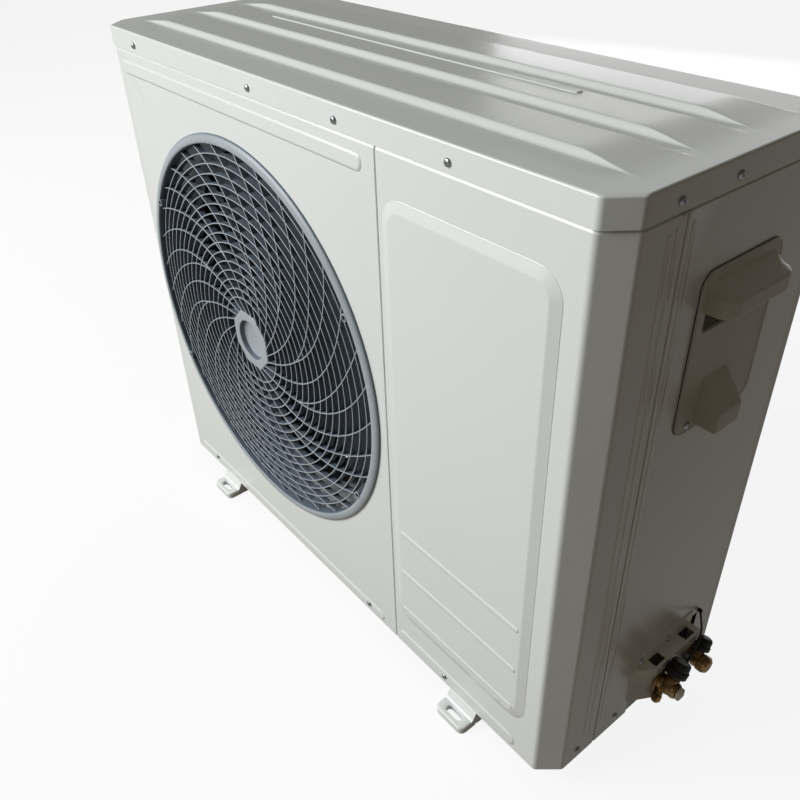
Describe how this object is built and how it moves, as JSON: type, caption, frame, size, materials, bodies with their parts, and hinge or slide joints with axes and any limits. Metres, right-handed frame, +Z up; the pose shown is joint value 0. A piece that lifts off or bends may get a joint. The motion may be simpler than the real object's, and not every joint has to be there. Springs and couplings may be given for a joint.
{
  "type": "outdoor condensing unit",
  "caption": "Box-shaped outdoor air-cooled condensing unit: axial fan behind a round spiral guard, service panel, cable cover, service valves and slotted feet.",
  "frame": {"origin": "on the floor at the centre of the rectangle of the four foot slots", "axes": "+X to the right seen from the front, +Y from the fan guard's side to the coil's side, +Z up"},
  "size_m": [0.9941, 0.39, 0.801],
  "materials": {
    "casing_paint": "satin powder coat",
    "guard_plastic": "moulded satin",
    "ring_paint": "satin powder coat",
    "galvanised": "dull zinc",
    "wire_coating": "coated wire",
    "fan_plastic": "moulded satin",
    "steel": "zinc plated",
    "motor_enamel": "semi matt",
    "coil_fins": "coated fins",
    "copper": "drawn tube",
    "vessel_enamel": "semi gloss",
    "rubber": "matt",
    "black_plastic": "moulded",
    "board": "coated board",
    "heat_sink_metal": "extruded",
    "can_sleeve": "shrunk sleeve",
    "block_plastic": "moulded",
    "cover_plastic": "moulded satin",
    "brass": "machined"
  },
  "bodies": {
    "casing": {"top_cover": "casing_paint", "fan_panel": "casing_paint", "service_panel": "casing_paint", "right_side_panel": "casing_paint", "rear_corner_post": "casing_paint", "wire_guard": "wire_coating", "base_pan": "galvanised", "foot_rail_left": "galvanised", "foot_rail_right": "galvanised", "fan_guard": "guard_plastic", "air_ring": "ring_paint", "fan_motor": "motor_enamel", "motor_bracket": "galvanised", "condenser_coil": "coil_fins", "coil_end_plates": "galvanised", "coil_bends": "copper", "coil_header": "copper", "partition_plate": "galvanised", "compressor": "vessel_enamel", "compressor_foot": "galvanised", "compressor_grommets": "rubber", "compressor_studs": "steel", "terminal_cover": "black_plastic", "accumulator": "vessel_enamel", "liquid_receiver": "vessel_enamel", "filter_drier": "copper", "suction_pipe": "copper", "discharge_pipe": "copper", "liquid_pipe": "copper", "electrical_box": "galvanised", "control_board": "board", "heat_sink": "heat_sink_metal", "capacitors": "can_sleeve", "terminal_block": "block_plastic", "cable_cover": "cover_plastic", "valve_bracket": "casing_paint", "liquid_valve": "brass", "gas_valve": "brass", "stem_cap": "brass", "liquid_flare_cap": "black_plastic", "gas_flare_cap": "black_plastic", "liquid_port_cap": "brass", "gas_port_cap": "brass", "cap_strap": "rubber", "cover_screws": "steel", "bottom_screws": "steel", "guard_screws": "steel", "cable_cover_screw": "steel", "bracket_screws": "steel"},
    "fan_rotor": {"fan": "fan_plastic", "motor_shaft": "steel", "fan_nut": "steel"},
    "liquid_spindle": {"liquid_valve_spindle": "steel"},
    "gas_spindle": {"gas_valve_spindle": "brass"}
  },
  "joints": [
    {"name": "fan_spin", "type": "hinge", "parent": "casing", "child": "fan_rotor", "pos_m": [-0.141, -0.143, 0.404], "axis": [0, 1, 0], "continuous": true},
    {"name": "liquid_spindle_turn", "type": "hinge", "parent": "casing", "child": "liquid_spindle", "pos_m": [0.5, 0.024, 0.085], "axis": [1, 0, 0], "range_deg": [0, 1440]},
    {"name": "gas_spindle_turn", "type": "hinge", "parent": "casing", "child": "gas_spindle", "pos_m": [0.5, 0.088, 0.085], "axis": [1, 0, 0], "range_deg": [0, 1440]}
  ]
}
